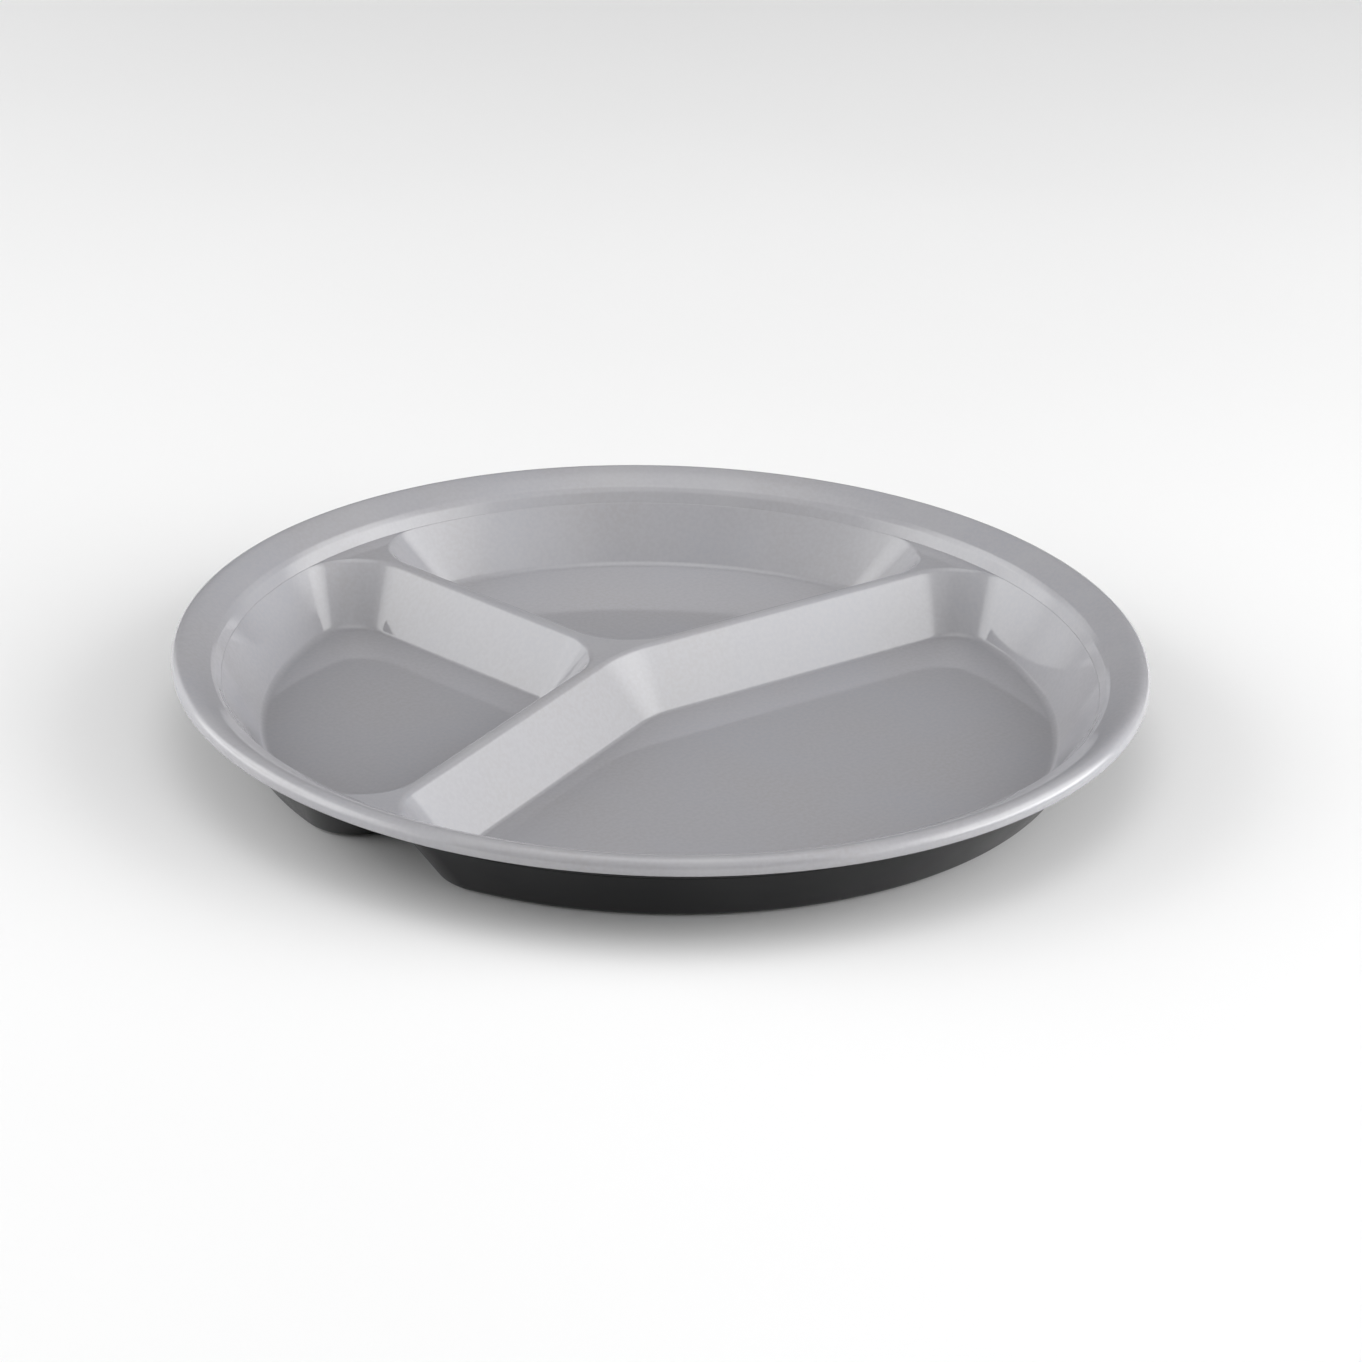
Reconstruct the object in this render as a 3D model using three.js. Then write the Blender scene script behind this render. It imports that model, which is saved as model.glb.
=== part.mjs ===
// Round three-compartment plate, moulded in two bonded colour layers.
//
// Frame: millimetres, +Z up, origin at the bottom centre. +Y runs along the straight divider, and the
// large compartment lies towards -Y. The plate is the same on both sides of the plane x = 0.
//
// Every surface is a "skin": a rim profile turned about Z, a level land between the compartments, and three
// compartments that go down from it. The face layer lies between two skins, and so does the base layer.

import * as THREE from 'three';

// ---- Overall size -------------------------------------------------------------------------------------
const RIM_RADIUS = 130;
const HEIGHT = 25.4;

// ---- Rim, from the outside in. Drops are measured down from the top of the lip --------------------------
const LIP_ROUNDING = 2.66;
const LIP_DEPTH = 4.4;
const LIP_EDGE_ROUNDING = 1;
const BAND_INNER_RADIUS = 119.6;
const BAND_DROP = 3.4;
const BAND_LEVEL_WIDTH = 2.1;
const SHOULDER = [
  [118.55, 4.6],
  [117.75, 6.0],
];

// ---- Land and compartments ------------------------------------------------------------------------------
const LAND_DROP = 7.55;
const LEDGE_WIDTH = 0.15;
const WALL_TOP_RADIUS = 116.8;
const FLOOR_DROP = 23.05;
const FLOOR_RADIUS = 106.6;
const DIVIDER_RUN = 11.4;
const STRAIGHT_DIVIDER_HALF = 1.7;
const SLANTED_DIVIDER_HALF = 1.4;
const HUB_Y = 15.8;
const SLANT = THREE.MathUtils.degToRad(12.1);

// Corner radii of a compartment's outline at the land, and how fast they shrink as the sides draw in.
const CORNER = {
  inner: { radius: 19.7, shrink: 1 },
  outer: { radius: 16.7, shrink: 0.52 },
  hub: { radius: 51, shrink: 2.7 },
};

// ---- Layers ---------------------------------------------------------------------------------------------
const FACE_THICKNESS = 1.2;
const BOND_LINE = 0.05;
const WALL_THICKNESS = 2.6;
const BASE_RIM_THICKNESS = 2.5;
const BASE_LAND_DROP = 10.95;
const BASE_WALL_TOP_RADIUS = 117.6;
const BASE_BOTTOM_RADIUS = 109.7;
const BASE_BOTTOM_INSET = 9.2;

// ---- Facets ---------------------------------------------------------------------------------------------
const RIM_SEGMENTS = 72;
const SMALL_COMPARTMENT_STEPS = { hub: 6, corner: 6, arc: 14 };
const LARGE_COMPARTMENT_STEPS = { hub: 5, corner: 6, arc: 28 };

const WALL_DEPTH = FLOOR_DROP - LAND_DROP;
const WALL_ANGLE = Math.atan2(WALL_DEPTH, DIVIDER_RUN);
const WALL_WIDENING = 1 / Math.sin(WALL_ANGLE);

// ---- Mesh of one closed layer ---------------------------------------------------------------------------

class ShellMesh {
  constructor() {
    this.positions = [];
    this.indices = [];
  }

  // Adds a closed ring of points at one level and returns the numbers of its vertices.
  ring(outline, z) {
    const first = this.positions.length / 3;
    for (const point of outline) {
      this.positions.push(point.x, point.y, z);
    }
    return outline.map((_, i) => first + i);
  }

  // Joins two rings. With the wider ring first, the strip faces up; flipped, it faces down.
  strip(wide, narrow, flipped = false) {
    for (let i = 0; i < wide.length; i++) {
      const j = (i + 1) % wide.length;
      this.triangle(wide[i], wide[j], narrow[j], flipped);
      this.triangle(wide[i], narrow[j], narrow[i], flipped);
    }
  }

  // Closes a level region inside `outer` and outside `holes`.
  plate(outer, holes, flipped = false) {
    const vertices = [outer, ...holes].flat();
    const at = (v) => new THREE.Vector2(this.positions[3 * v], this.positions[3 * v + 1]);
    const contour = outer.map(at);
    const inner = holes.map((hole) => hole.map(at));
    for (const [a, b, c] of THREE.ShapeUtils.triangulateShape(contour, inner)) {
      const corners = [vertices[a], vertices[b], vertices[c]];
      const clockwise = THREE.ShapeUtils.area(corners.map(at)) < 0;
      this.triangle(...corners, clockwise !== flipped);
    }
  }

  triangle(a, b, c, flipped) {
    this.indices.push(...(flipped ? [a, c, b] : [a, b, c]));
  }

  geometry() {
    const geometry = new THREE.BufferGeometry();
    geometry.setAttribute('position', new THREE.Float32BufferAttribute(this.positions, 3));
    geometry.setIndex(this.indices);
    geometry.computeVertexNormals();
    return geometry;
  }
}

// ---- Outlines in plan -----------------------------------------------------------------------------------

// Points on an arc, both ends included, turning anticlockwise from one angle to the other.
function arc(centre, radius, from, to, steps) {
  const sweep = THREE.MathUtils.euclideanModulo(to - from, 2 * Math.PI);
  return Array.from({ length: steps + 1 }, (_, i) => {
    const angle = from + (sweep * i) / steps;
    return new THREE.Vector2(centre.x + radius * Math.cos(angle), centre.y + radius * Math.sin(angle));
  });
}

// One side of a compartment, along a divider: `inward` points into the compartment, `outward` to the rim.
function side(inwardX, inwardY, outwardX, outwardY, half) {
  return {
    inward: new THREE.Vector2(inwardX, inwardY),
    outward: new THREE.Vector2(outwardX, outwardY),
    half,
  };
}

const SIN = Math.sin(SLANT);
const COS = Math.cos(SLANT);
const HUB = new THREE.Vector2(0, HUB_Y);

// Sides are given anticlockwise about the compartment, starting at its corner by the hub.
const COMPARTMENTS = [
  {
    first: side(SIN, COS, COS, -SIN, SLANTED_DIVIDER_HALF),
    second: side(1, 0, 0, 1, STRAIGHT_DIVIDER_HALF),
    hubCorner: CORNER.inner,
    steps: SMALL_COMPARTMENT_STEPS,
  },
  {
    first: side(-1, 0, 0, 1, STRAIGHT_DIVIDER_HALF),
    second: side(-SIN, COS, -COS, -SIN, SLANTED_DIVIDER_HALF),
    hubCorner: CORNER.inner,
    steps: SMALL_COMPARTMENT_STEPS,
  },
  {
    first: side(SIN, -COS, -COS, -SIN, SLANTED_DIVIDER_HALF),
    second: side(-SIN, -COS, COS, -SIN, SLANTED_DIVIDER_HALF),
    hubCorner: CORNER.hub,
    steps: LARGE_COMPARTMENT_STEPS,
  },
];

// Centre of the fillet between the two sides, by the hub.
function hubCentre({ first, second }, inset, radius) {
  const a = first.half + inset + radius;
  const b = second.half + inset + radius;
  const det = first.inward.cross(second.inward);
  return new THREE.Vector2(
    (a * second.inward.y - b * first.inward.y) / det,
    (b * first.inward.x - a * second.inward.x) / det,
  ).add(HUB);
}

// Centre of the fillet between one side and the outer wall.
function rimCentre(edge, inset, radius, wallRadius) {
  const base = HUB.clone().addScaledVector(edge.inward, edge.half + inset + radius);
  const along = base.dot(edge.outward);
  const reach = (wallRadius - radius) ** 2 - base.lengthSq() + along ** 2;
  return base.addScaledVector(edge.outward, Math.sqrt(reach) - along);
}

// Outline of a compartment whose sides stand `inset` in from the dividers and whose wall has `wallRadius`.
function outline(compartment, inset, wallRadius, cornerGrowth) {
  const { first, second, hubCorner, steps } = compartment;
  const hubRadius = hubCorner.radius - hubCorner.shrink * inset;
  const cornerRadius = CORNER.outer.radius - CORNER.outer.shrink * inset + cornerGrowth;
  const towards = (edge) => Math.atan2(-edge.inward.y, -edge.inward.x);
  const firstCentre = rimCentre(first, inset, cornerRadius, wallRadius);
  const secondCentre = rimCentre(second, inset, cornerRadius, wallRadius);
  const origin = new THREE.Vector2();
  return [
    ...arc(hubCentre(compartment, inset, hubRadius), hubRadius, towards(second), towards(first), steps.hub),
    ...arc(firstCentre, cornerRadius, towards(first), firstCentre.angle(), steps.corner),
    ...arc(origin, wallRadius, firstCentre.angle(), secondCentre.angle(), steps.arc).slice(1, -1),
    ...arc(secondCentre, cornerRadius, secondCentre.angle(), towards(second), steps.corner),
  ];
}

function circle(radius) {
  return arc(new THREE.Vector2(), radius, 0, Math.PI * 2 - 1e-9, RIM_SEGMENTS).slice(0, -1);
}

// ---- Skins ----------------------------------------------------------------------------------------------

// Levels of a compartment from the land down to the floor. `inset` follows the dividers' sides, with a
// fillet at each end; `wallRadius` follows the outer wall, which meets the shoulder without a fillet.
function compartmentLevels(skin) {
  const { landDrop, floorDrop, topInset, floorInset, topRadius, floorRadius } = skin;
  const depth = floorDrop - landDrop;
  const slope = Math.atan2(depth, floorInset - topInset);
  const wallSlope = Math.atan2(depth, topRadius - floorRadius);
  const topStart = topInset - skin.topFillet * Math.tan(slope / 2);
  const floorEnd = floorInset + skin.floorFillet * Math.tan(slope / 2);
  const floorWallEnd = floorRadius - skin.floorFillet * Math.tan(wallSlope / 2);
  const levels = [];
  for (let i = 0; i <= skin.topSteps; i++) {
    const turn = (slope * i) / skin.topSteps;
    const drop = landDrop + skin.topFillet * (1 - Math.cos(turn));
    levels.push({
      inset: topStart + skin.topFillet * Math.sin(turn),
      wallRadius: topRadius - (drop - landDrop) / Math.tan(wallSlope),
      drop,
    });
  }
  for (let i = skin.floorSteps; i >= 0; i--) {
    const turn = (slope * i) / skin.floorSteps;
    levels.push({
      inset: floorEnd - skin.floorFillet * Math.sin(turn),
      wallRadius: floorWallEnd + skin.floorFillet * Math.sin(turn),
      drop: floorDrop - skin.floorFillet * (1 - Math.cos(turn)),
    });
  }
  return levels;
}

// The rim's section at a depth under the face, from the edge of the land out to the lip's lower edge.
function rimSection({ rimDepth: depth, landDrop, lipSteps, bandSteps }, landRadius) {
  const rounding = Math.max(LIP_ROUNDING - depth, 0);
  const lipCentre = RIM_RADIUS - LIP_ROUNDING;
  const section = [[landRadius, landDrop]];
  const shoulder = [...SHOULDER].reverse();
  for (const [radius, drop] of shoulder) {
    section.push([radius + 0.8 * depth, drop + 0.6 * depth]);
  }
  const bandTop = new THREE.Vector2(lipCentre, depth);
  const bandTangent = new THREE.Vector2(lipCentre - BAND_LEVEL_WIDTH, depth);
  const bandInner = new THREE.Vector2(BAND_INNER_RADIUS + 0.65 * depth, BAND_DROP + 0.85 * depth);
  const band = new THREE.QuadraticBezierCurve(bandInner, bandTangent, bandTop);
  for (const point of band.getPoints(bandSteps).slice(0, -1)) {
    section.push([point.x, point.y]);
  }
  for (let i = lipSteps; i >= 0; i--) {
    const angle = (Math.PI / 2) * (i / lipSteps);
    section.push([lipCentre + rounding * Math.cos(angle), LIP_ROUNDING - rounding * Math.sin(angle)]);
  }
  return section;
}

function skin(settings) {
  const landRadius = settings.topRadius + LEDGE_WIDTH;
  return {
    ...settings,
    rim: rimSection(settings, landRadius),
    levels: compartmentLevels(settings),
  };
}

// A skin that runs parallel to the face at a depth inside the wall.
function parallelSkin(depth) {
  return skin({
    rimDepth: depth,
    landDrop: LAND_DROP + depth,
    floorDrop: FLOOR_DROP + depth,
    topInset: depth / Math.tan(WALL_ANGLE) - depth * WALL_WIDENING,
    floorInset: DIVIDER_RUN + depth / Math.tan(WALL_ANGLE) - depth * WALL_WIDENING,
    topRadius: WALL_TOP_RADIUS - depth / Math.tan(WALL_ANGLE) + depth * WALL_WIDENING,
    floorRadius: FLOOR_RADIUS - depth / Math.tan(WALL_ANGLE) + depth * WALL_WIDENING,
    topFillet: 1.1,
    topSteps: 1,
    floorFillet: 4.5,
    floorSteps: 1,
    lipSteps: 2,
    bandSteps: 2,
    cornerGrowth: depth,
  });
}

const FACE_SKIN = skin({
  rimDepth: 0,
  landDrop: LAND_DROP,
  floorDrop: FLOOR_DROP,
  topInset: 0,
  floorInset: DIVIDER_RUN,
  topRadius: WALL_TOP_RADIUS,
  floorRadius: FLOOR_RADIUS,
  topFillet: 2.2,
  topSteps: 4,
  floorFillet: 3.5,
  floorSteps: 3,
  lipSteps: 4,
  bandSteps: 3,
  cornerGrowth: 0,
});

const UNDERSIDE_SKIN = skin({
  rimDepth: BASE_RIM_THICKNESS,
  landDrop: BASE_LAND_DROP,
  floorDrop: HEIGHT,
  topInset: (BASE_LAND_DROP - LAND_DROP) / Math.tan(WALL_ANGLE) - WALL_THICKNESS * WALL_WIDENING,
  floorInset: BASE_BOTTOM_INSET,
  topRadius: BASE_WALL_TOP_RADIUS,
  floorRadius: BASE_BOTTOM_RADIUS,
  topFillet: 1,
  topSteps: 2,
  floorFillet: 3.8,
  floorSteps: 4,
  lipSteps: 1,
  bandSteps: 2,
  cornerGrowth: 1,
});

// ---- Layers ---------------------------------------------------------------------------------------------

// Land, compartment walls and floors of one skin, inside the ring that ends its rim.
function addTray(mesh, tray, landRing, flipped) {
  const openings = [];
  for (const compartment of COMPARTMENTS) {
    const rings = tray.levels.map(({ inset, wallRadius, drop }) =>
      mesh.ring(outline(compartment, inset, wallRadius, tray.cornerGrowth), HEIGHT - drop),
    );
    for (let i = 1; i < rings.length; i++) {
      mesh.strip(rings[i - 1], rings[i], flipped);
    }
    mesh.plate(rings.at(-1), [], flipped);
    openings.push(rings[0]);
  }
  mesh.plate(landRing, openings, flipped);
}

// A closed layer between two skins, whose rims meet in a lower lip edge with the given section.
function layerGeometry(upper, lower, lipEdge) {
  const mesh = new ShellMesh();
  const section = [...upper.rim, ...lipEdge, ...[...lower.rim].reverse()];
  const rings = section.map(([radius, drop]) => mesh.ring(circle(radius), HEIGHT - drop));
  for (let i = 1; i < rings.length; i++) {
    mesh.strip(rings[i], rings[i - 1]);
  }
  addTray(mesh, upper, rings[0], false);
  addTray(mesh, lower, rings.at(-1), true);
  return mesh.geometry();
}

const FACE_BACK_RADIUS = RIM_RADIUS - FACE_THICKNESS;
const BASE_LIP_RADIUS = FACE_BACK_RADIUS - BOND_LINE;
const BASE_LIP_INNER_RADIUS = RIM_RADIUS - BASE_RIM_THICKNESS;

// The face layer turns down over the lip and ends in a rounded lower edge.
function faceLayer() {
  const edge = [
    [RIM_RADIUS, LIP_DEPTH - LIP_EDGE_ROUNDING],
    [RIM_RADIUS - 0.3 * LIP_EDGE_ROUNDING, LIP_DEPTH - 0.3 * LIP_EDGE_ROUNDING],
    [RIM_RADIUS - LIP_EDGE_ROUNDING, LIP_DEPTH],
    [FACE_BACK_RADIUS, LIP_DEPTH],
  ];
  const geometry = layerGeometry(FACE_SKIN, parallelSkin(FACE_THICKNESS), edge);
  const material = new THREE.MeshStandardMaterial({ color: 0xa9a9ae, roughness: 0.25, metalness: 0 });
  const mesh = new THREE.Mesh(geometry, material);
  mesh.name = 'grey_face_layer';
  return mesh;
}

// The base layer fills the back of the face layer and makes the underside.
function baseLayer() {
  const edge = [
    [BASE_LIP_RADIUS, LIP_DEPTH],
    [BASE_LIP_INNER_RADIUS + LIP_EDGE_ROUNDING, LIP_DEPTH],
    [BASE_LIP_INNER_RADIUS, LIP_DEPTH - LIP_EDGE_ROUNDING],
  ];
  const geometry = layerGeometry(parallelSkin(FACE_THICKNESS + BOND_LINE), UNDERSIDE_SKIN, edge);
  const material = new THREE.MeshStandardMaterial({ color: 0x151517, roughness: 0.35, metalness: 0 });
  const mesh = new THREE.Mesh(geometry, material);
  mesh.name = 'black_base_layer';
  return mesh;
}

const plate = new THREE.Group();
plate.add(faceLayer(), baseLayer());

export default plate;
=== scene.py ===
"""Looks of a round divided plate, moulded in two bonded colour layers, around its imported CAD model.

Lengths in the geometry functions are millimetres, and drops are measured down from the top of the lip.
`Shell` turns them into metres in the row frame: +Z up, origin at the bottom centre, +Y along the straight
divider, the large well towards -Y.
"""

import math
from collections import namedtuple

import bpy
import numpy as np
from mathutils import Matrix, Vector
from mathutils.geometry import tessellate_polygon


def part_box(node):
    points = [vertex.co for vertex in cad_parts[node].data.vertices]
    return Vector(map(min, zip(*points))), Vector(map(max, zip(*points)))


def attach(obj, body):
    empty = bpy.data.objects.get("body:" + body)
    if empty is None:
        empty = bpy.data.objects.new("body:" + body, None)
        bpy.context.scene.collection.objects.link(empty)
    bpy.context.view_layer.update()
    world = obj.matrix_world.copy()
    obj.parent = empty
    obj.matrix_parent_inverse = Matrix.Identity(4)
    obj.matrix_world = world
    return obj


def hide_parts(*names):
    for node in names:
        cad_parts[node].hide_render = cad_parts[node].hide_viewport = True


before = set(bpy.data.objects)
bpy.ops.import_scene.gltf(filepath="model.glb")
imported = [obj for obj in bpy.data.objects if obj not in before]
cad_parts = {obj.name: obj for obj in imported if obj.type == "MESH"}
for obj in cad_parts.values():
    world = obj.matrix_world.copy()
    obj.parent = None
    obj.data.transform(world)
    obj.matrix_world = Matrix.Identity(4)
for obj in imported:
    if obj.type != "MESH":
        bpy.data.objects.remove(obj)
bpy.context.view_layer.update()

MM = 0.001

# ---- Driving dimensions, in millimetres -----------------------------------------------------------------

_, FACE_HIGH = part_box("grey_face_layer")
BASE_LOW, BASE_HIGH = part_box("black_base_layer")
TOP = FACE_HIGH.z / MM
HEIGHT = (FACE_HIGH.z - BASE_LOW.z) / MM
RIM_RADIUS = FACE_HIGH.x / MM
BASE_LIP_RADIUS = BASE_HIGH.x / MM
BOND_DROP = (FACE_HIGH.z - BASE_HIGH.z) / MM

LIP_ROUNDING = 2.66
LIP_DEPTH = 4.4
LIP_EDGE_ROUNDING = 1.1
LIP_SIDE_DROP = LIP_ROUNDING + 0.4
BOND_EDGE_ROUNDING = 0.15
BAND_INNER_RADIUS = 119.6
BAND_DROP = 3.4
BAND_INNER_SLOPE = math.radians(28)
BAND_INNER_FILLET = 2.2
BAND_HANDLE = 2.6
BAND_LEVEL_WIDTH = 2.0
SHOULDER_RADIUS = 118.5
SHOULDER_DROP = 4.7
SHOULDER_FILLET = 4.5

# Movement out and down, for each millimetre under the face, of the band's inner edge and of the shoulder.
BAND_INNER_SHIFT = np.array([0.65, 0.85])
SHOULDER_SHIFT = np.array([0.85, 0.55])

LAND_DROP = 7.55
LEDGE_WIDTH = 0.05
# Step out and up from the land to the foot of the slope, which keeps the slope straight down to its foot.
LAND_EDGE_SHIFT = (0.03, 0.05)
WALL_TOP_RADIUS = 116.8
FLOOR_DROP = 23.05
FLOOR_RADIUS = 106.6
DIVIDER_RUN = 11.4
STRAIGHT_DIVIDER_HALF = 1.7
SLANTED_DIVIDER_HALF = 1.4
HUB = np.array([0.0, 15.8])
SLANT = math.radians(12.1)

FACE_THICKNESS = 1.2
WALL_THICKNESS = 2.6
BASE_RIM_THICKNESS = 2.5
BASE_LAND_DROP = 10.95
BASE_WALL_TOP_RADIUS = 117.6
BASE_BOTTOM_RADIUS = 109.7
BASE_BOTTOM_INSET = 9.2

# Corner radius of a well's outline at the land, and how fast it shrinks as the sides draw in.
Corner = namedtuple("Corner", "radius shrink")
INNER_CORNER = Corner(19.7, 1.0)
OUTER_CORNER = Corner(16.7, 0.52)
HUB_CORNER = Corner(51.0, 2.7)

# Small travel down a well's wall, over which the wall's slope is measured for the surface normals.
NORMAL_STEP = 0.01

RIM_STEPS = 480
Steps = namedtuple("Steps", "hub corner arc")
SMALL_WELL_STEPS = Steps(28, 30, 72)
LARGE_WELL_STEPS = Steps(24, 30, 144)

WALL_ANGLE = math.atan2(FLOOR_DROP - LAND_DROP, DIVIDER_RUN)


# ---- Mesh of one closed layer ---------------------------------------------------------------------------

class Shell:
    """A closed mesh made of rings joined by strips, and of level plates."""

    def __init__(self):
        self.vertices = []
        self.normals = []
        self.faces = []

    def ring(self, outline, drop, lean, rise):
        """Adds a closed ring at one level and returns the numbers of its vertices.

        `outline` holds a point and the direction out of its arc in each row. The surface normal leans
        along that direction by `lean` while it rises by `rise`.
        """
        first = len(self.vertices)
        z = (TOP - drop) * MM
        normals = np.column_stack([outline[:, 2:] * lean, np.broadcast_to(rise, len(outline))])
        self.vertices += [(x * MM, y * MM, z) for x, y in outline[:, :2]]
        self.normals += [Vector(n).normalized() for n in normals]
        return list(range(first, len(self.vertices)))

    def strip(self, wide, narrow, flipped=False):
        """Joins two rings. With the wider ring first the strip faces up; flipped, it faces down."""
        for i in range(len(wide)):
            j = (i + 1) % len(wide)
            self.face([wide[i], wide[j], narrow[j], narrow[i]], flipped)

    def face(self, corners, flipped):
        self.faces.append(corners[::-1] if flipped else corners)

    def plate(self, outer, holes, flipped):
        """Closes the level region inside `outer` and outside `holes` with triangles."""
        loops = [outer, *holes]
        numbers = [v for loop in loops for v in loop]
        points = [[Vector(self.vertices[v]) for v in loop] for loop in loops]
        for corners in tessellate_polygon(points):
            a, b, c = (self.vertices[numbers[i]] for i in corners)
            turn = (b[0] - a[0]) * (c[1] - a[1]) - (b[1] - a[1]) * (c[0] - a[0])
            self.face([numbers[i] for i in corners], (turn < 0) != flipped)

    def build(self, name):
        mesh = bpy.data.meshes.new(name)
        mesh.from_pydata(self.vertices, [], self.faces)
        mesh.shade_smooth()
        mesh.normals_split_custom_set_from_vertices(self.normals)
        piece = bpy.data.objects.new(name, mesh)
        bpy.context.scene.collection.objects.link(piece)
        return piece


# ---- Outlines in plan -----------------------------------------------------------------------------------

def arc(centre, radius, start, end, steps):
    """Points on an arc and their directions from its centre, turning anticlockwise, both ends included."""
    angles = start + (end - start) % (2 * math.pi) * np.linspace(0, 1, steps + 1)
    directions = np.column_stack([np.cos(angles), np.sin(angles)])
    return np.hstack([centre + radius * directions, directions])


def circle(radius):
    return arc(np.zeros(2), radius, 0, 2 * math.pi * (1 - 1 / RIM_STEPS), RIM_STEPS - 1)


# One side of a well, along a divider: `inward` points into the well, `outward` towards the rim.
Side = namedtuple("Side", "inward outward half")
Well = namedtuple("Well", "first second hub_corner steps")


def side(inward, outward, half):
    return Side(np.array(inward), np.array(outward), half)


def wells():
    """The three wells, each with its sides anticlockwise from the corner by the hub."""
    sin, cos = math.sin(SLANT), math.cos(SLANT)
    right, left, back = (cos, -sin), (-cos, -sin), (0.0, 1.0)
    return [
        Well(
            side((sin, cos), right, SLANTED_DIVIDER_HALF),
            side((1.0, 0.0), back, STRAIGHT_DIVIDER_HALF),
            INNER_CORNER, SMALL_WELL_STEPS,
        ),
        Well(
            side((-1.0, 0.0), back, STRAIGHT_DIVIDER_HALF),
            side((-sin, cos), left, SLANTED_DIVIDER_HALF),
            INNER_CORNER, SMALL_WELL_STEPS,
        ),
        Well(
            side((sin, -cos), left, SLANTED_DIVIDER_HALF),
            side((-sin, -cos), right, SLANTED_DIVIDER_HALF),
            HUB_CORNER, LARGE_WELL_STEPS,
        ),
    ]


def hub_centre(well, inset, radius):
    """Centre of the fillet between a well's two sides, by the hub."""
    normals = np.array([well.first.inward, well.second.inward])
    offsets = np.array([well.first.half, well.second.half]) + inset + radius
    return HUB + np.linalg.solve(normals, offsets)


def rim_centre(edge, inset, radius, wall_radius):
    """Centre of the fillet between one side and the outer wall."""
    base = HUB + edge.inward * (edge.half + inset + radius)
    along = base @ edge.outward
    reach = (wall_radius - radius) ** 2 - base @ base + along ** 2
    return base + edge.outward * (math.sqrt(reach) - along)


def bearing(vector):
    return math.atan2(vector[1], vector[0])


def outline(well, inset, wall_radius, corner_growth):
    """Outline of a well whose sides stand `inset` in from the dividers."""
    hub_radius = well.hub_corner.radius - well.hub_corner.shrink * inset
    corner_radius = OUTER_CORNER.radius - OUTER_CORNER.shrink * inset + corner_growth
    first_centre = rim_centre(well.first, inset, corner_radius, wall_radius)
    second_centre = rim_centre(well.second, inset, corner_radius, wall_radius)
    to_first, to_second = bearing(-well.first.inward), bearing(-well.second.inward)
    from_rim, to_rim = bearing(first_centre), bearing(second_centre)
    centre = hub_centre(well, inset, hub_radius)
    return np.vstack([
        arc(centre, hub_radius, to_second, to_first, well.steps.hub),
        arc(first_centre, corner_radius, to_first, from_rim, well.steps.corner),
        arc(np.zeros(2), wall_radius, from_rim, to_rim, well.steps.arc)[1:-1],
        arc(second_centre, corner_radius, to_rim, to_second, well.steps.corner),
    ])


# ---- Skins: the surfaces that the two layers lie between ------------------------------------------------

Tray = namedtuple(
    "Tray",
    "rim land_drop floor_drop top_inset floor_inset top_radius floor_radius "
    "top_fillet edge_fillet floor_fillet wall_fillet top_steps floor_steps corner_growth",
)


def filleted_run(drop, depth, run, top_fillet, floor_fillet):
    """Travel and slope of a wall at `drop` under its top, with a fillet at each end."""
    slope = math.atan2(depth, run)
    if drop < top_fillet * (1 - math.cos(slope)):
        turn = math.acos(1 - drop / top_fillet)
        return top_fillet * (math.sin(turn) - math.tan(slope / 2)), turn
    if depth - drop < floor_fillet * (1 - math.cos(slope)):
        turn = math.acos(1 - max(depth - drop, 0) / floor_fillet)
        return run - floor_fillet * (math.sin(turn) - math.tan(slope / 2)), turn
    return drop / math.tan(slope), slope


def tray_drops(tray):
    """Drops of the rings of a well, evenly turned through the fillets at its land and its floor."""
    depth = tray.floor_drop - tray.land_drop
    slope = math.atan2(depth, tray.floor_inset - tray.top_inset)
    top_turns = np.linspace(0, slope, tray.top_steps + 1)
    floor_turns = np.linspace(slope, 0, tray.floor_steps + 1)
    wall_rounds = tray.wall_fillet * (1 - np.cos(floor_turns))
    floor_rounds = tray.floor_fillet * (1 - np.cos(floor_turns))
    return [
        *(tray.top_fillet * (1 - np.cos(top_turns))),
        *(depth - wall_rounds[wall_rounds > 1.1 * floor_rounds[0]]),
        *(depth - floor_rounds),
    ]


def add_well(shell, tray, well, flipped):
    """Walls and floor of one well; returns the ring round its opening."""
    depth = tray.floor_drop - tray.land_drop
    divider_run = tray.floor_inset - tray.top_inset
    wall_run = tray.top_radius - tray.floor_radius
    side_up = -1 if flipped else 1
    rings = []
    for drop in tray_drops(tray):
        travel, slope = filleted_run(drop, depth, divider_run, tray.top_fillet, tray.floor_fillet)
        wall_travel, wall_slope = filleted_run(drop, depth, wall_run, tray.edge_fillet, tray.wall_fillet)
        inset = tray.top_inset + travel
        radius = tray.top_radius - wall_travel
        here = outline(well, inset, radius, tray.corner_growth)
        wall_rate = math.sin(slope) / math.tan(wall_slope) if wall_slope > 0.001 else 1.0
        ahead_inset = inset + NORMAL_STEP * math.cos(slope)
        ahead = outline(well, ahead_inset, radius - NORMAL_STEP * wall_rate, tray.corner_growth)
        closing = ((here - ahead)[:, :2] * here[:, 2:]).sum(axis=1) / NORMAL_STEP
        rings.append(shell.ring(
            here, tray.land_drop + drop, lean=-side_up * math.sin(slope), rise=side_up * closing,
        ))
    for wide, narrow in zip(rings, rings[1:]):
        shell.strip(wide, narrow, flipped)
    shell.face(rings[-1], flipped)
    return rings[0]


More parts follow.
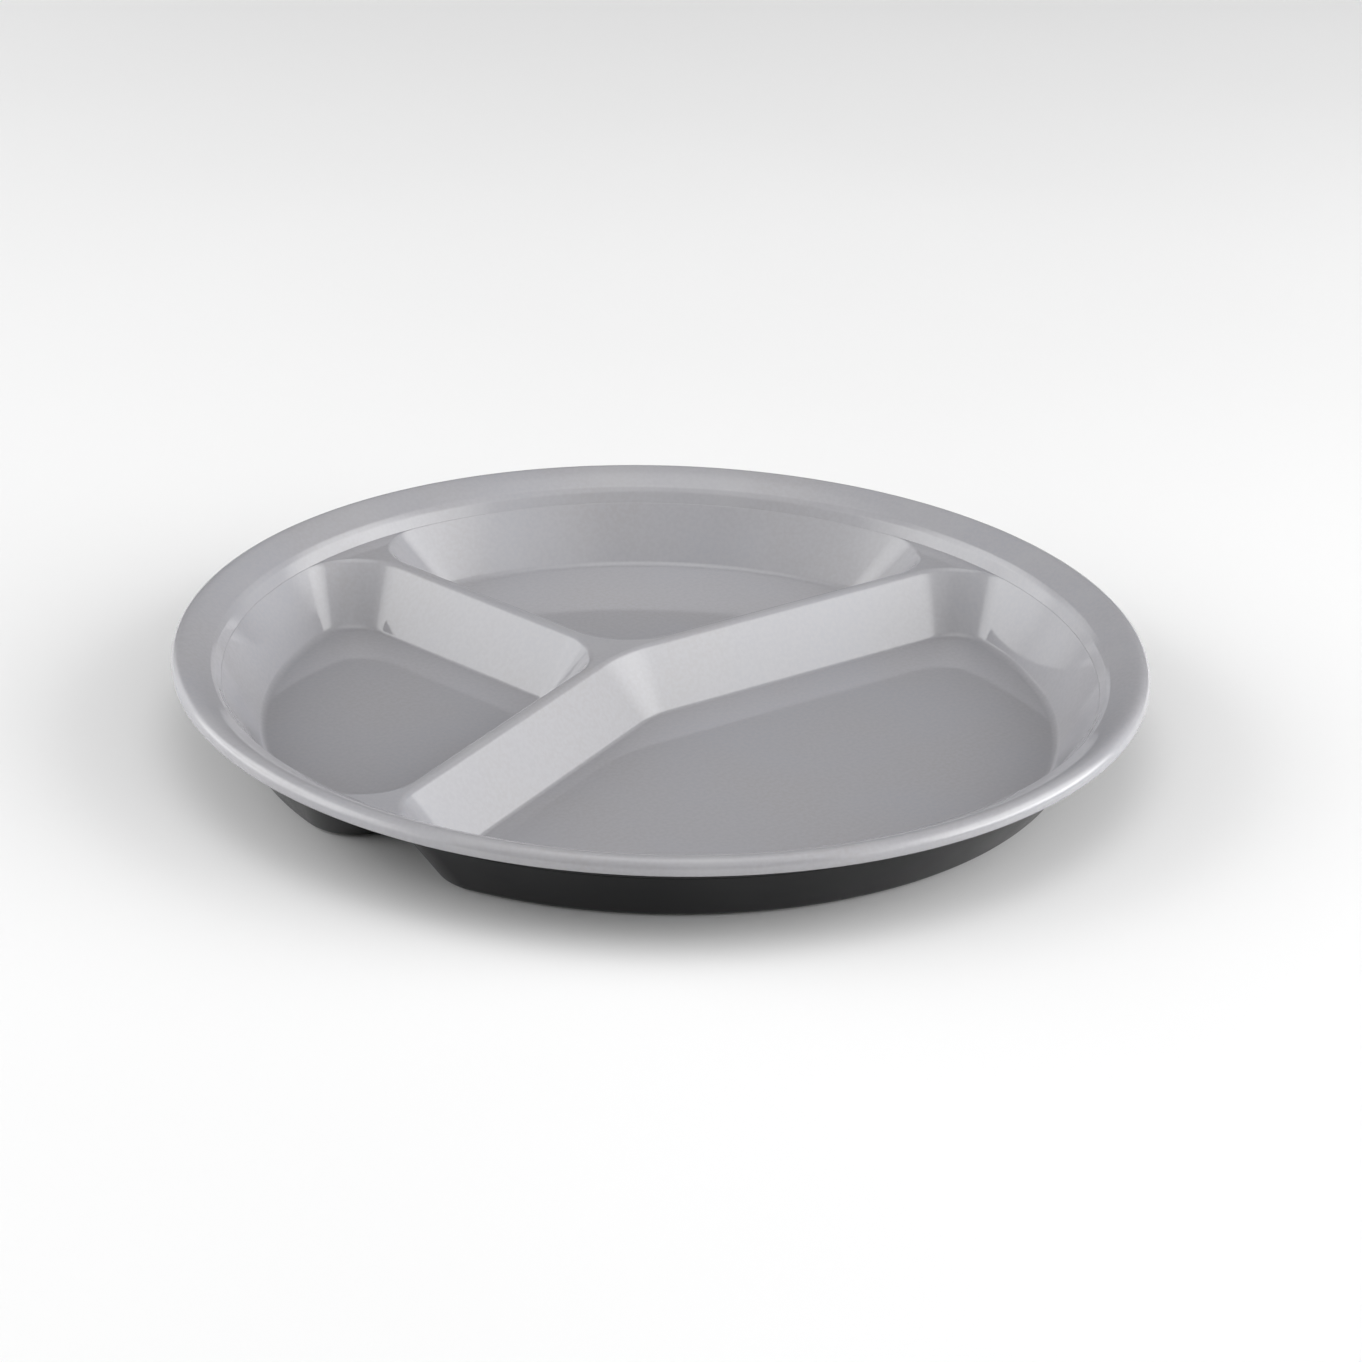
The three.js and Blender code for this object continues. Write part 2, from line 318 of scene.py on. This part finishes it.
def rounded(corners):
    """A polyline through (radius, drop, fillet, steps) corners, with each corner rounded by its fillet."""
    points = [np.array(c[:2], float) for c in corners]
    path = [points[0]]
    for before, here, after, (_, _, fillet, steps) in zip(points, points[1:], points[2:], corners[1:]):
        if fillet == 0:
            path.append(here)
            continue
        u = (before - here) / np.linalg.norm(before - here)
        v = (after - here) / np.linalg.norm(after - here)
        half_angle = math.acos(np.clip(u @ v, -1, 1)) / 2
        start = here + u * fillet / math.tan(half_angle)
        end = here + v * fillet / math.tan(half_angle)
        middle = (u + v) / np.linalg.norm(u + v)
        centre = here + middle * fillet / math.sin(half_angle)
        sweep = math.pi - 2 * half_angle
        for t in np.linspace(0, 1, steps + 1):
            a, b = math.sin((1 - t) * sweep), math.sin(t * sweep)
            path.append(centre + ((start - centre) * a + (end - centre) * b) / math.sin(sweep))
    path.append(points[-1])
    return path


def bezier(start, first, second, end, steps):
    points = np.array([start, first, second, end], float)
    result = []
    for t in np.linspace(0, 1, steps + 1):
        weights = np.array([(1 - t) ** 3, 3 * t * (1 - t) ** 2, 3 * t * t * (1 - t), t ** 3])
        result.append(weights @ points)
    return result


def rim_section(depth, land_radius, land_drop, fine):
    """The rim at a depth under the face, from the edge of the land to the outer side of the lip."""
    lip_centre = RIM_RADIUS - LIP_ROUNDING
    rounding = max(LIP_ROUNDING - depth, 0.0)
    inner = np.array([BAND_INNER_RADIUS, BAND_DROP]) + depth * BAND_INNER_SHIFT
    shoulder = np.array([SHOULDER_RADIUS, SHOULDER_DROP]) + depth * SHOULDER_SHIFT
    band_steps, shoulder_steps, lip_steps = (14, 8, 14) if fine else (5, 2, 2)
    handle = inner + BAND_HANDLE * np.array([math.cos(BAND_INNER_SLOPE), -math.sin(BAND_INNER_SLOPE)])
    band_top = (lip_centre, depth)
    band = bezier(inner, handle, (lip_centre - BAND_LEVEL_WIDTH, depth), band_top, band_steps)
    land = [
        (land_radius, land_drop, 0, 0),
        (land_radius + LAND_EDGE_SHIFT[0], land_drop - LAND_EDGE_SHIFT[1], 0, 0),
        (*shoulder, SHOULDER_FILLET, shoulder_steps),
        (*inner, BAND_INNER_FILLET if fine else 0, 6),
        (*band[1], 0, 0),
    ]
    section = rounded(land) + band[2:]
    for turn in np.linspace(math.pi / 2, 0, lip_steps + 1)[1:]:
        offset = rounding * np.array([math.cos(turn), -math.sin(turn)])
        section.append(np.array([lip_centre, LIP_ROUNDING]) + offset)
    return section


def face_tray():
    return Tray(
        rim=rim_section(0, WALL_TOP_RADIUS + LEDGE_WIDTH, LAND_DROP, fine=True),
        land_drop=LAND_DROP, floor_drop=FLOOR_DROP,
        top_inset=0, floor_inset=DIVIDER_RUN,
        top_radius=WALL_TOP_RADIUS, floor_radius=FLOOR_RADIUS,
        top_fillet=2.2, edge_fillet=0.15, floor_fillet=1.5, wall_fillet=3.0,
        top_steps=12, floor_steps=14, corner_growth=0,
    )


def bond_tray(depth):
    """The skin where the layers meet, parallel to the face at a depth inside the wall."""
    outward = depth / math.sin(WALL_ANGLE) - depth / math.tan(WALL_ANGLE)
    return Tray(
        rim=rim_section(depth, WALL_TOP_RADIUS + outward + LEDGE_WIDTH, LAND_DROP + depth, fine=False),
        land_drop=LAND_DROP + depth, floor_drop=FLOOR_DROP + depth,
        top_inset=-outward, floor_inset=DIVIDER_RUN - outward,
        top_radius=WALL_TOP_RADIUS + outward, floor_radius=FLOOR_RADIUS + outward,
        top_fillet=1.1, edge_fillet=0.15, floor_fillet=3.0, wall_fillet=7.2,
        top_steps=4, floor_steps=4, corner_growth=depth,
    )


def underside_tray():
    wall_shift = (BASE_LAND_DROP - LAND_DROP) / math.tan(WALL_ANGLE) - WALL_THICKNESS / math.sin(WALL_ANGLE)
    return Tray(
        rim=rim_section(BASE_RIM_THICKNESS, BASE_WALL_TOP_RADIUS + LEDGE_WIDTH, BASE_LAND_DROP, fine=True),
        land_drop=BASE_LAND_DROP, floor_drop=HEIGHT,
        top_inset=wall_shift, floor_inset=BASE_BOTTOM_INSET,
        top_radius=BASE_WALL_TOP_RADIUS, floor_radius=BASE_BOTTOM_RADIUS,
        top_fillet=1.0, edge_fillet=0.2, floor_fillet=3.8, wall_fillet=3.8,
        top_steps=6, floor_steps=14, corner_growth=1,
    )


# ---- The two layers -------------------------------------------------------------------------------------

def section_normals(section):
    """(lean, rise) at each point of a closed layer's rim section, level at both ends."""
    points = np.array(section)
    along = np.diff(points, axis=0)
    across = np.column_stack([along[:, 1], along[:, 0]])
    inside = across[:-1] + across[1:]
    return [(0.0, 1.0), *inside, (0.0, -1.0)]


def layer(name, upper, lower, lip_edge):
    """A closed layer between two skins, whose rims meet in the given section of lower lip edge."""
    shell = Shell()
    section = [*upper.rim, *lip_edge, *lower.rim[::-1]]
    rings = [
        shell.ring(circle(radius), drop, lean, rise)
        for (radius, drop), (lean, rise) in zip(section, section_normals(section))
    ]
    for narrow, wide in zip(rings, rings[1:]):
        shell.strip(wide, narrow)
    for tray, land_ring, flipped in ((upper, rings[0], False), (lower, rings[-1], True)):
        openings = [add_well(shell, tray, well, flipped) for well in wells()]
        shell.plate(land_ring, openings, flipped)
    return shell.build(name)


def face_layer():
    back_radius = RIM_RADIUS - FACE_THICKNESS
    edge = rounded([
        (RIM_RADIUS, LIP_SIDE_DROP, 0, 0),
        (RIM_RADIUS, LIP_DEPTH, LIP_EDGE_ROUNDING, 6),
        (back_radius, LIP_DEPTH, BOND_EDGE_ROUNDING, 3),
        (back_radius, LIP_SIDE_DROP, 0, 0),
    ])
    return layer("face_layer", face_tray(), bond_tray(FACE_THICKNESS), edge)


def base_layer():
    inner_radius = RIM_RADIUS - BASE_RIM_THICKNESS
    edge = rounded([
        (BASE_LIP_RADIUS, LIP_SIDE_DROP, 0, 0),
        (BASE_LIP_RADIUS, LIP_DEPTH, BOND_EDGE_ROUNDING, 3),
        (inner_radius, LIP_DEPTH, LIP_EDGE_ROUNDING, 6),
        (inner_radius, LIP_SIDE_DROP, 0, 0),
    ])
    return layer("base_layer", bond_tray(BOND_DROP), underside_tray(), edge)


# ---- Materials ------------------------------------------------------------------------------------------

GREY_WARM = (0.360, 0.354, 0.364, 1)
GREY_COOL = (0.358, 0.360, 0.384, 1)
GREY_FLECK = (0.374, 0.370, 0.390, 1)
GREY_WORN = (0.400, 0.398, 0.412, 1)
BLACK_DEEP = (0.008, 0.008, 0.009, 1)
BLACK_SOFT = (0.012, 0.012, 0.013, 1)
BLACK_RUBBED = (0.022, 0.022, 0.023, 1)
FLOOR_PALE = (0.86, 0.86, 0.86, 1)
FLOOR_PALER = (0.88, 0.88, 0.88, 1)


class Material:
    """A Principled material with a short way to add and link nodes."""

    def __init__(self, name):
        self.data = bpy.data.materials.new(name)
        self.data.use_nodes = True
        self.tree = self.data.node_tree
        self.shader = self.tree.nodes["Principled BSDF"]
        self.place = self.tree.nodes.new("ShaderNodeTexCoord").outputs["Object"]
        self.height = self.node("ShaderNodeSeparateXYZ", "Z", Vector=self.place)

    def set(self, socket, value):
        if isinstance(value, bpy.types.NodeSocket):
            self.tree.links.new(value, socket)
        else:
            socket.default_value = value

    def surface(self, **inputs):
        for name, value in inputs.items():
            self.set(self.shader.inputs[name.replace("_", " ")], value)

    def node(self, kind, output, settings=None, numbered=(), **inputs):
        """Adds a node; its inputs are given by name, or in order as `numbered`."""
        node = self.tree.nodes.new(kind)
        for key, value in (settings or {}).items():
            setattr(node, key, value)
        for socket, value in zip(node.inputs, numbered):
            self.set(socket, value)
        for name, value in inputs.items():
            self.set(node.inputs[name], value)
        return node.outputs[output]

    def noise(self, scale, detail=2.0, vector=None):
        return self.node(
            "ShaderNodeTexNoise", "Fac", Vector=vector or self.place, Scale=scale, Detail=detail,
        )

    def math(self, operation, a, b):
        return self.node("ShaderNodeMath", "Value", {"operation": operation}, (a, b))

    def ramp(self, value, low, high, at_low=0.0, at_high=1.0):
        """`value` carried smoothly from low..high to at_low..at_high."""
        settings = {"interpolation_type": "SMOOTHSTEP"}
        return self.node("ShaderNodeMapRange", "Result", settings, (value, low, high, at_low, at_high))

    def blend(self, factor, a, b):
        """Colour `a` where `factor` is 0, turning into `b` where it is 1."""
        node = self.tree.nodes.new("ShaderNodeMix")
        node.data_type = "RGBA"
        colours = [socket for socket in node.inputs if socket.type == "RGBA"]
        for socket, value in zip([node.inputs[0], *colours], (factor, a, b)):
            self.set(socket, value)
        return next(socket for socket in node.outputs if socket.type == "RGBA")

    def hairlines(self, angle, density):
        """Sparse fine straight marks that run along one direction in plan."""
        stretched = self.node(
            "ShaderNodeMapping", "Vector", Vector=self.place,
            Rotation=(0, 0, math.radians(angle)), Scale=(45, 2600, 45),
        )
        return self.ramp(self.noise(1, detail=0, vector=stretched), density, density + 0.05)

    def bump(self, height, distance):
        return self.node("ShaderNodeBump", "Normal", Height=height, Distance=distance)


def grey_melamine():
    """Gloss of the face: faint mottling, dulled ridges and rim, hairlines where cutlery works."""
    material = Material("grey_melamine")
    floor_height = (HEIGHT - FLOOR_DROP) * MM
    ridge_height = (HEIGHT - LAND_DROP) * MM
    mottle = material.ramp(material.noise(24, detail=4), 0.32, 0.68)
    speckle = material.ramp(material.noise(850, detail=1), 0.3, 0.7)
    ground = material.blend(mottle, GREY_WARM, GREY_COOL)
    flecked = material.blend(speckle, ground, GREY_FLECK)
    raised = material.ramp(material.height, ridge_height - 0.6 * MM, ridge_height)
    worn = material.math("MULTIPLY", raised, material.ramp(material.noise(38, detail=5), 0.45, 0.72))
    colour = material.blend(material.math("MULTIPLY", worn, 0.5), flecked, GREY_WORN)
    low = material.ramp(material.height, floor_height + 1.2 * MM, floor_height + 0.4 * MM)
    marks = material.math("ADD", material.hairlines(24, 0.7), material.hairlines(-51, 0.72))
    marks = material.math("MULTIPLY", low, marks)
    gloss = material.ramp(material.noise(55, detail=3), 0.3, 0.7, 0.04, 0.065)
    gloss = material.math("ADD", gloss, material.math("MULTIPLY", worn, 0.05))
    gloss = material.math("ADD", gloss, material.math("MULTIPLY", marks, 0.05))
    ripple = material.math("ADD", material.noise(110, detail=1), material.math("MULTIPLY", marks, -0.05))
    material.surface(Base_Color=colour, Roughness=gloss, IOR=1.56, Normal=material.bump(ripple, 0.008 * MM))
    return material.data


def black_melamine():
    """Satin black of the base: faint cloudiness, rubbed paler and rougher where it stands."""
    material = Material("black_melamine")
    cloud = material.ramp(material.noise(40, detail=4), 0.35, 0.65)
    contact = material.ramp(material.height, 0.5 * MM, 0.05 * MM)
    rubbed = material.math("MULTIPLY", contact, material.ramp(material.noise(240, detail=6), 0.3, 0.75))
    foot_edge = material.ramp(material.height, 3.2 * MM, 0.8 * MM)
    scuffs = material.ramp(material.noise(300, detail=4), 0.6, 0.75, 0.0, 0.35)
    scuffed = material.math("MULTIPLY", foot_edge, scuffs)
    wear = material.math("MAXIMUM", rubbed, scuffed)
    colour = material.blend(wear, material.blend(cloud, BLACK_DEEP, BLACK_SOFT), BLACK_RUBBED)
    satin = material.ramp(material.noise(90, detail=3), 0.3, 0.7, 0.2, 0.27)
    satin = material.math("ADD", satin, material.math("MULTIPLY", wear, 0.18))
    ripple = material.bump(material.noise(160, detail=2), 0.02 * MM)
    material.surface(Base_Color=colour, Roughness=satin, Specular_IOR_Level=0.3, Normal=ripple)
    return material.data


def studio_floor():
    """Matt pale floor."""
    material = Material("studio_floor")
    tone = material.ramp(material.noise(3), 0.3, 0.7)
    colour = material.blend(tone, FLOOR_PALE, FLOOR_PALER)
    material.surface(Base_Color=colour, Roughness=0.9, Specular_IOR_Level=0.1)
    return material.data


# ---- Pieces ---------------------------------------------------------------------------------------------

def place_piece(piece, node, material):
    piece.data.materials.append(material)
    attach(piece, "root")
    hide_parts(node)


place_piece(face_layer(), "grey_face_layer", grey_melamine())
place_piece(base_layer(), "black_base_layer", black_melamine())


# ---- Camera, floor and light ----------------------------------------------------------------------------

VIEW_AZIMUTH = math.radians(-48.64)
VIEW_ELEVATION = math.radians(24.38)
VIEW_DISTANCE = 1.1278
VIEW_TARGET = Vector((0.0005, -0.0068, 0.0158))
VIEW_ROLL = math.radians(1.72)
LENS = 111.85
SENSOR_WIDTH = 36
FLOOR_HALF_WIDTH = 4.0
LAMP_DISTANCE = 1.7


def direction(azimuth, elevation):
    """Unit vector towards a place seen at this azimuth (0 is -Y, turning towards +X) and elevation."""
    return Vector((
        math.sin(azimuth) * math.cos(elevation),
        -math.cos(azimuth) * math.cos(elevation),
        math.sin(elevation),
    ))


def add_camera():
    data = bpy.data.cameras.new("camera")
    data.lens = LENS
    data.sensor_width = SENSOR_WIDTH
    camera = bpy.data.objects.new("camera", data)
    bpy.context.scene.collection.objects.link(camera)
    back = direction(VIEW_AZIMUTH, VIEW_ELEVATION)
    right = Vector((0, 0, 1)).cross(back).normalized()
    axes = Matrix((right, back.cross(right), back)).transposed()
    turn = axes.to_4x4() @ Matrix.Rotation(VIEW_ROLL, 4, "Z")
    camera.matrix_world = Matrix.Translation(VIEW_TARGET + back * VIEW_DISTANCE) @ turn
    bpy.context.scene.camera = camera


def add_floor():
    mesh = bpy.data.meshes.new("studio_floor")
    quarters = ((-1, -1), (1, -1), (1, 1), (-1, 1))
    corners = [(x * FLOOR_HALF_WIDTH, y * FLOOR_HALF_WIDTH, BASE_LOW.z) for x, y in quarters]
    mesh.from_pydata(corners, [], [(0, 1, 2, 3)])
    floor = bpy.data.objects.new("studio_floor", mesh)
    bpy.context.scene.collection.objects.link(floor)
    mesh.materials.append(studio_floor())


def add_softbox(name, azimuth, elevation, spread, brightness):
    """A soft rectangular lamp aimed at the plate, brightest in the middle and fading to its edges.

    `azimuth` turns from the camera towards the right, `elevation` is above the floor and `spread` is the
    angle the lamp fills across and up, all in degrees as seen from the plate.
    """
    data = bpy.data.lights.new(name, "AREA")
    data.shape = "RECTANGLE"
    data.size, data.size_y = (2 * LAMP_DISTANCE * math.tan(math.radians(angle / 2)) for angle in spread)
    data.energy = math.pi * data.size * data.size_y * brightness
    fade_to_edges(data)
    lamp = bpy.data.objects.new(name, data)
    bpy.context.scene.collection.objects.link(lamp)
    back = direction(VIEW_AZIMUTH + math.radians(azimuth), math.radians(elevation))
    lamp.location = back * LAMP_DISTANCE
    lamp.rotation_euler = back.to_track_quat("Z", "Y").to_euler()


def fade_to_edges(light):
    """Shapes a lamp's light as a parabola across and up its face."""
    light.use_nodes = True
    nodes, links = light.node_tree.nodes, light.node_tree.links

    def product(a, b):
        node = nodes.new("ShaderNodeMath")
        node.operation = "MULTIPLY"
        for socket, value in zip(node.inputs, (a, b)):
            if isinstance(value, bpy.types.NodeSocket):
                links.new(value, socket)
            else:
                socket.default_value = value
        return node.outputs["Value"]

    def from_far_edge(place):
        node = nodes.new("ShaderNodeMath")
        node.operation = "SUBTRACT"
        node.inputs[0].default_value = 1.0
        links.new(place, node.inputs[1])
        return node.outputs["Value"]

    split = nodes.new("ShaderNodeSeparateXYZ")
    links.new(nodes.new("ShaderNodeNewGeometry").outputs["Parametric"], split.inputs[0])
    across, up = split.outputs["X"], split.outputs["Y"]
    fall_across = product(product(across, from_far_edge(across)), 4.0)
    fall_up = product(product(up, from_far_edge(up)), 4.0)
    links.new(product(fall_across, fall_up), nodes["Emission"].inputs["Strength"])


def add_world(level):
    world = bpy.data.worlds.new("studio")
    world.use_nodes = True
    background = world.node_tree.nodes["Background"]
    background.inputs["Color"].default_value = (level, level, level, 1)
    bpy.context.scene.world = world


add_camera()
add_floor()

# The brightness values were fitted to the tones of the photograph, and then rounded.
for elevation, left, right in ((7, 3.2, 6.8), (20, 1.4, 2.1), (33, 3.4, 3.8), (48, 1.0, 0.9)):
    add_softbox(f"left_strip_{elevation}", -95, elevation, (60, 30), left)
    add_softbox(f"right_strip_{elevation}", 90, elevation, (60, 30), right)
add_softbox("left_wing_low", -63, 12, (44, 36), 2.5)
add_softbox("left_wing_high", -63, 32, (44, 36), 1.0)
add_softbox("left_back_wing", -127, 12, (44, 36), 1.55)
add_softbox("right_wing_low", 58, 12, (44, 36), 2.7)
add_softbox("right_wing_high", 58, 32, (44, 36), 0.95)
add_softbox("right_back_wing", 122, 12, (44, 36), 0.65)
add_softbox("front_card_left", -47, 49, (34, 26), 0.8)
add_softbox("front_card_right", 47, 49, (34, 26), 1.1)
add_softbox("front_card", 0, 37, (60, 20), 0.5)
add_softbox("front_card_high", 0, 52, (60, 20), 0.5)
add_softbox("overhead", 0, 85, (60, 60), 1.8)
add_world(0.0)
bpy.context.scene.view_settings.view_transform = "Standard"
